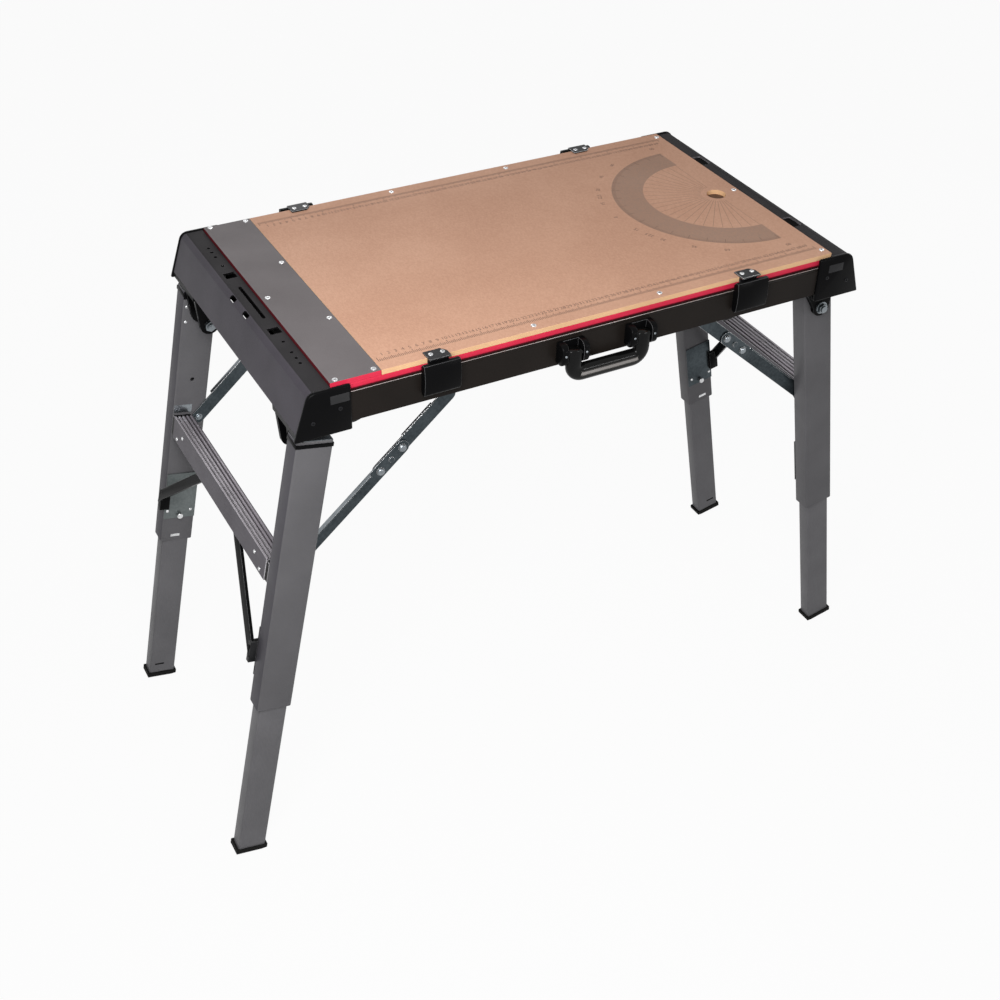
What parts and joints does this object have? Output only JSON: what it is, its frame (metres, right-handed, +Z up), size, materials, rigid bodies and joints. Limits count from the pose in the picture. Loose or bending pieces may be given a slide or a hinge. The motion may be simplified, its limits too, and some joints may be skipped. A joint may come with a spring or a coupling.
{
  "type": "folding work table",
  "caption": "Folding work table: tan board with a metal end plate, splayed telescoping legs on folding stays, ribbed step bars, edge latches, a carrying handle and casters.",
  "frame": {"origin": "on the floor under the middle of the table", "axes": "+X along the table towards the plain end, -X towards the metal end plate, -Y towards the handle side, +Z up"},
  "size_m": [1.1696, 0.5102, 0.8103],
  "materials": {
    "board_tan": "smooth pressed board, lightly sealed",
    "wear_plate_steel": "grey powder coat with rubbed edges",
    "deck_red": "red lacquered edge",
    "rail_dark_paint": "dark satin paint",
    "end_rail_paint": "charcoal satin paint",
    "black_plastic": "moulded, fine texture",
    "leg_paint": "mid grey powder coat",
    "inner_tube_paint": "mid grey powder coat",
    "foot_rubber": "moulded rubber",
    "zinc_steel": "zinc plated",
    "bar_aluminium": "extruded, ribbed",
    "caster_tyre": "moulded tyre"
  },
  "bodies": {
    "table": {"work_board": "board_tan", "wear_plate": "wear_plate_steel", "deck_panel": "deck_red", "front_rail": "rail_dark_paint", "rear_rail": "rail_dark_paint", "left_end_rail": "end_rail_paint", "right_end_rail": "end_rail_paint", "left_cross_plate": "zinc_steel", "right_cross_plate": "zinc_steel", "handle_bracket_left": "black_plastic", "handle_bracket_right": "black_plastic", "corner_front_left": "black_plastic", "keeper_front_left": "zinc_steel", "corner_rear_left": "black_plastic", "keeper_rear_left": "zinc_steel", "corner_front_right": "black_plastic", "keeper_front_right": "zinc_steel", "corner_rear_right": "black_plastic", "keeper_rear_right": "zinc_steel"},
    "left_legs": {"upper_leg_front_left": "leg_paint", "upper_leg_rear_left": "leg_paint", "left_step_bar": "bar_aluminium", "left_bar_brace": "rail_dark_paint"},
    "lower_leg_front_left": {"lower_leg_front_left": "inner_tube_paint", "foot_front_left": "foot_rubber"},
    "release_button_front_left": {"release_button_front_left": "zinc_steel"},
    "lower_stay_front_left": {"lower_stay_front_left": "zinc_steel"},
    "upper_stay_front_left": {"upper_stay_front_left": "zinc_steel"},
    "lower_leg_rear_left": {"lower_leg_rear_left": "inner_tube_paint", "foot_rear_left": "foot_rubber"},
    "release_button_rear_left": {"release_button_rear_left": "zinc_steel"},
    "lower_stay_rear_left": {"lower_stay_rear_left": "zinc_steel"},
    "upper_stay_rear_left": {"upper_stay_rear_left": "zinc_steel"},
    "right_legs": {"upper_leg_front_right": "leg_paint", "upper_leg_rear_right": "leg_paint", "right_step_bar": "bar_aluminium", "right_bar_brace": "rail_dark_paint"},
    "lower_leg_front_right": {"lower_leg_front_right": "inner_tube_paint", "foot_front_right": "foot_rubber"},
    "release_button_front_right": {"release_button_front_right": "zinc_steel"},
    "lower_stay_front_right": {"lower_stay_front_right": "zinc_steel"},
    "upper_stay_front_right": {"upper_stay_front_right": "zinc_steel"},
    "lower_leg_rear_right": {"lower_leg_rear_right": "inner_tube_paint", "foot_rear_right": "foot_rubber"},
    "release_button_rear_right": {"release_button_rear_right": "zinc_steel"},
    "lower_stay_rear_right": {"lower_stay_rear_right": "zinc_steel"},
    "upper_stay_rear_right": {"upper_stay_rear_right": "zinc_steel"},
    "latch_front_left": {"latch_front_left": "black_plastic"},
    "latch_rear_left": {"latch_rear_left": "black_plastic"},
    "latch_front_right": {"latch_front_right": "black_plastic"},
    "latch_rear_right": {"latch_rear_right": "black_plastic"},
    "carry_handle": {"carry_handle": "black_plastic"},
    "caster_fork_front_left": {"caster_fork_front_left": "zinc_steel"},
    "caster_wheel_front_left": {"caster_wheel_front_left": "caster_tyre"},
    "caster_fork_rear_left": {"caster_fork_rear_left": "zinc_steel"},
    "caster_wheel_rear_left": {"caster_wheel_rear_left": "caster_tyre"},
    "caster_fork_front_right": {"caster_fork_front_right": "zinc_steel"},
    "caster_wheel_front_right": {"caster_wheel_front_right": "caster_tyre"},
    "caster_fork_rear_right": {"caster_fork_rear_right": "zinc_steel"},
    "caster_wheel_rear_right": {"caster_wheel_rear_right": "caster_tyre"}
  },
  "joints": [
    {"name": "left_leg_fold", "type": "hinge", "parent": "table", "child": "left_legs", "pos_m": [-0.424, 0, 0.693], "axis": [0, -1, 0], "range_deg": [0, 101.2]},
    {"name": "leg_slide_front_left", "type": "slide", "parent": "left_legs", "child": "lower_leg_front_left", "axis": [0.1942, 0, 0.981], "range_m": [0, 0.248]},
    {"name": "button_press_front_left", "type": "slide", "parent": "left_legs", "child": "release_button_front_left", "axis": [0, -1, 0], "range_m": [0, 0.003], "stiffness_N_per_m": 600},
    {"name": "lower_stay_turn_front_left", "type": "hinge", "parent": "left_legs", "child": "lower_stay_front_left", "pos_m": [-0.44416, 0, 0.51136], "axis": [0, 1, 0], "range_deg": [0, 126.7]},
    {"name": "upper_stay_turn_front_left", "type": "hinge", "parent": "table", "child": "upper_stay_front_left", "pos_m": [-0.2105, 0, 0.7175], "axis": [0, -1, 0], "range_deg": [0, 154.6]},
    {"name": "leg_slide_rear_left", "type": "slide", "parent": "left_legs", "child": "lower_leg_rear_left", "axis": [0.1942, 0, 0.981], "range_m": [0, 0.248]},
    {"name": "button_press_rear_left", "type": "slide", "parent": "left_legs", "child": "release_button_rear_left", "axis": [0, 1, 0], "range_m": [0, 0.003], "stiffness_N_per_m": 600},
    {"name": "lower_stay_turn_rear_left", "type": "hinge", "parent": "left_legs", "child": "lower_stay_rear_left", "pos_m": [-0.44416, 0, 0.51136], "axis": [0, 1, 0], "range_deg": [0, 126.7]},
    {"name": "upper_stay_turn_rear_left", "type": "hinge", "parent": "table", "child": "upper_stay_rear_left", "pos_m": [-0.2105, 0, 0.7175], "axis": [0, -1, 0], "range_deg": [0, 154.6]},
    {"name": "right_leg_fold", "type": "hinge", "parent": "table", "child": "right_legs", "pos_m": [0.424, 0, 0.693], "axis": [0, 1, 0], "range_deg": [0, 101.2]},
    {"name": "leg_slide_front_right", "type": "slide", "parent": "right_legs", "child": "lower_leg_front_right", "axis": [-0.1942, 0, 0.981], "range_m": [0, 0.248]},
    {"name": "button_press_front_right", "type": "slide", "parent": "right_legs", "child": "release_button_front_right", "axis": [0, -1, 0], "range_m": [0, 0.003], "stiffness_N_per_m": 600},
    {"name": "lower_stay_turn_front_right", "type": "hinge", "parent": "right_legs", "child": "lower_stay_front_right", "pos_m": [0.44416, 0, 0.51136], "axis": [0, -1, 0], "range_deg": [0, 126.7]},
    {"name": "upper_stay_turn_front_right", "type": "hinge", "parent": "table", "child": "upper_stay_front_right", "pos_m": [0.2105, 0, 0.7175], "axis": [0, 1, 0], "range_deg": [0, 154.6]},
    {"name": "leg_slide_rear_right", "type": "slide", "parent": "right_legs", "child": "lower_leg_rear_right", "axis": [-0.1942, 0, 0.981], "range_m": [0, 0.248]},
    {"name": "button_press_rear_right", "type": "slide", "parent": "right_legs", "child": "release_button_rear_right", "axis": [0, 1, 0], "range_m": [0, 0.003], "stiffness_N_per_m": 600},
    {"name": "lower_stay_turn_rear_right", "type": "hinge", "parent": "right_legs", "child": "lower_stay_rear_right", "pos_m": [0.44416, 0, 0.51136], "axis": [0, -1, 0], "range_deg": [0, 126.7]},
    {"name": "upper_stay_turn_rear_right", "type": "hinge", "parent": "table", "child": "upper_stay_rear_right", "pos_m": [0.2105, 0, 0.7175], "axis": [0, 1, 0], "range_deg": [0, 154.6]},
    {"name": "latch_flip_front_left", "type": "hinge", "parent": "table", "child": "latch_front_left", "pos_m": [-0.245, -0.2439, 0.765], "axis": [1, 0, 0], "range_deg": [0, 100]},
    {"name": "latch_flip_rear_left", "type": "hinge", "parent": "table", "child": "latch_rear_left", "pos_m": [-0.245, 0.2439, 0.765], "axis": [-1, 0, 0], "range_deg": [0, 100]},
    {"name": "latch_flip_front_right", "type": "hinge", "parent": "table", "child": "latch_front_right", "pos_m": [0.245, -0.2439, 0.765], "axis": [1, 0, 0], "range_deg": [0, 100]},
    {"name": "latch_flip_rear_right", "type": "hinge", "parent": "table", "child": "latch_rear_right", "pos_m": [0.245, 0.2439, 0.765], "axis": [-1, 0, 0], "range_deg": [0, 100]},
    {"name": "handle_swing", "type": "hinge", "parent": "table", "child": "carry_handle", "pos_m": [0.005, -0.2515, 0.769], "axis": [-1, 0, 0], "range_deg": [0, 95]},
    {"name": "caster_swivel_front_left", "type": "hinge", "parent": "table", "child": "caster_fork_front_left", "pos_m": [-0.335, -0.105, 0.7472], "axis": [0, 0, 1], "continuous": true},
    {"name": "caster_roll_front_left", "type": "hinge", "parent": "caster_fork_front_left", "child": "caster_wheel_front_left", "pos_m": [-0.317, -0.105, 0.6835], "axis": [0, 1, 0], "continuous": true},
    {"name": "caster_swivel_rear_left", "type": "hinge", "parent": "table", "child": "caster_fork_rear_left", "pos_m": [-0.335, 0.105, 0.7472], "axis": [0, 0, 1], "continuous": true},
    {"name": "caster_roll_rear_left", "type": "hinge", "parent": "caster_fork_rear_left", "child": "caster_wheel_rear_left", "pos_m": [-0.317, 0.105, 0.6835], "axis": [0, 1, 0], "continuous": true},
    {"name": "caster_swivel_front_right", "type": "hinge", "parent": "table", "child": "caster_fork_front_right", "pos_m": [0.335, -0.105, 0.7472], "axis": [0, 0, 1], "continuous": true},
    {"name": "caster_roll_front_right", "type": "hinge", "parent": "caster_fork_front_right", "child": "caster_wheel_front_right", "pos_m": [0.317, -0.105, 0.6835], "axis": [0, 1, 0], "continuous": true},
    {"name": "caster_swivel_rear_right", "type": "hinge", "parent": "table", "child": "caster_fork_rear_right", "pos_m": [0.335, 0.105, 0.7472], "axis": [0, 0, 1], "continuous": true},
    {"name": "caster_roll_rear_right", "type": "hinge", "parent": "caster_fork_rear_right", "child": "caster_wheel_rear_right", "pos_m": [0.317, 0.105, 0.6835], "axis": [0, 1, 0], "continuous": true}
  ],
  "couplings": [
    {"joint": "lower_stay_turn_front_left", "follows": "left_leg_fold", "ratio": 1.2512},
    {"joint": "upper_stay_turn_front_left", "follows": "left_leg_fold", "ratio": 1.5274},
    {"joint": "lower_stay_turn_rear_left", "follows": "left_leg_fold", "ratio": 1.2512},
    {"joint": "upper_stay_turn_rear_left", "follows": "left_leg_fold", "ratio": 1.5274},
    {"joint": "lower_stay_turn_front_right", "follows": "right_leg_fold", "ratio": 1.2512},
    {"joint": "upper_stay_turn_front_right", "follows": "right_leg_fold", "ratio": 1.5274},
    {"joint": "lower_stay_turn_rear_right", "follows": "right_leg_fold", "ratio": 1.2512},
    {"joint": "upper_stay_turn_rear_right", "follows": "right_leg_fold", "ratio": 1.5274}
  ]
}
